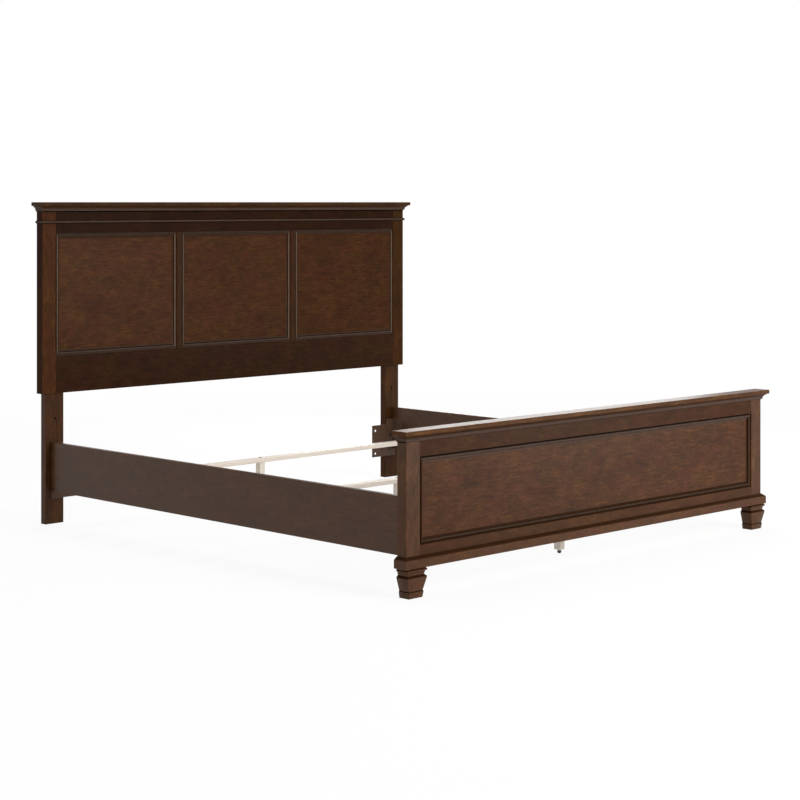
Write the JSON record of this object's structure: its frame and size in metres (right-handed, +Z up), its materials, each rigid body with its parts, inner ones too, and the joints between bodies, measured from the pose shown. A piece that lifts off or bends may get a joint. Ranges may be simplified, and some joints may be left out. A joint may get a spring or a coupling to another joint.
{
  "type": "panel bed",
  "caption": "Panel bed with a framed headboard on legs, a low framed footboard on tapered feet, bolted side rails and steel cross slats with height-adjustable centre supports.",
  "frame": {"origin": "on the floor, under the middle of the bed's outline", "axes": "+X to the right seen from the foot of the bed, +Y from the foot to the head, +Z up"},
  "size_m": [2.128, 2.164, 1.326],
  "materials": {
    "brown_frame": "semi-gloss brown lacquer over veneer",
    "brown_panel": "semi-gloss brown lacquer over figured veneer",
    "brown_rail": "semi-gloss brown lacquer over veneer",
    "brown_moulding": "semi-gloss brown lacquer, solid wood",
    "brown_batten": "brown stained, unpolished",
    "brown_steel": "brown powder coat",
    "cream_steel": "cream powder coat",
    "zinc_steel": "zinc plated",
    "black_plastic": "moulded black plastic"
  },
  "bodies": {
    "bed": {"bracket_screws": "zinc_steel", "centre_leg_foot": "cream_steel", "centre_leg_head": "cream_steel", "centre_leg_middle": "cream_steel", "cross_slat_foot": "cream_steel", "cross_slat_head": "cream_steel", "cross_slat_middle": "cream_steel", "foot_bracket_bolts": "zinc_steel", "foot_bracket_left": "brown_steel", "foot_bracket_right": "brown_steel", "foot_studs": "zinc_steel", "footboard_base_moulding": "brown_moulding", "footboard_bottom_rail": "brown_frame", "footboard_cap": "brown_frame", "footboard_corner_block_left": "brown_batten", "footboard_corner_block_right": "brown_batten", "footboard_cove_moulding": "brown_moulding", "footboard_foot_left": "brown_frame", "footboard_foot_right": "brown_frame", "footboard_panel": "brown_panel", "footboard_panel_moulding": "brown_moulding", "footboard_post_left": "brown_frame", "footboard_post_right": "brown_frame", "footboard_top_rail": "brown_frame", "head_bracket_bolts": "zinc_steel", "head_bracket_left": "brown_steel", "head_bracket_nuts": "zinc_steel", "head_bracket_right": "brown_steel", "headboard_bead_moulding": "brown_moulding", "headboard_bottom_rail": "brown_frame", "headboard_cap": "brown_frame", "headboard_cove_moulding": "brown_moulding", "headboard_leg_bolts": "zinc_steel", "headboard_leg_left": "brown_frame", "headboard_leg_right": "brown_frame", "headboard_mullion_left": "brown_frame", "headboard_mullion_right": "brown_frame", "headboard_panel_left": "brown_panel", "headboard_panel_middle": "brown_panel", "headboard_panel_moulding_left": "brown_moulding", "headboard_panel_moulding_middle": "brown_moulding", "headboard_panel_moulding_right": "brown_moulding", "headboard_panel_right": "brown_panel", "headboard_stile_left": "brown_frame", "headboard_stile_right": "brown_frame", "headboard_top_batten": "brown_batten", "headboard_top_rail": "brown_frame", "ledger_screws": "zinc_steel", "leg_plate_left": "brown_steel", "leg_plate_right": "brown_steel", "rail_ledger_left": "brown_batten", "rail_ledger_right": "brown_batten", "side_rail_left": "brown_rail", "side_rail_right": "brown_rail", "slat_end_screws": "zinc_steel", "slat_leg_bolts": "zinc_steel", "slat_leg_nuts": "zinc_steel"},
    "glide_head_screw": {"glide_head": "black_plastic"},
    "glide_middle_screw": {"glide_middle": "black_plastic"},
    "glide_foot_screw": {"glide_foot": "black_plastic"}
  },
  "joints": [
    {"name": "glide_head_height", "type": "slide", "parent": "bed", "child": "glide_head_screw", "axis": [0, 0, 1], "range_m": [-0.015, 0.0015]},
    {"name": "glide_middle_height", "type": "slide", "parent": "bed", "child": "glide_middle_screw", "axis": [0, 0, 1], "range_m": [-0.015, 0.0015]},
    {"name": "glide_foot_height", "type": "slide", "parent": "bed", "child": "glide_foot_screw", "axis": [0, 0, 1], "range_m": [-0.015, 0.0015]}
  ]
}
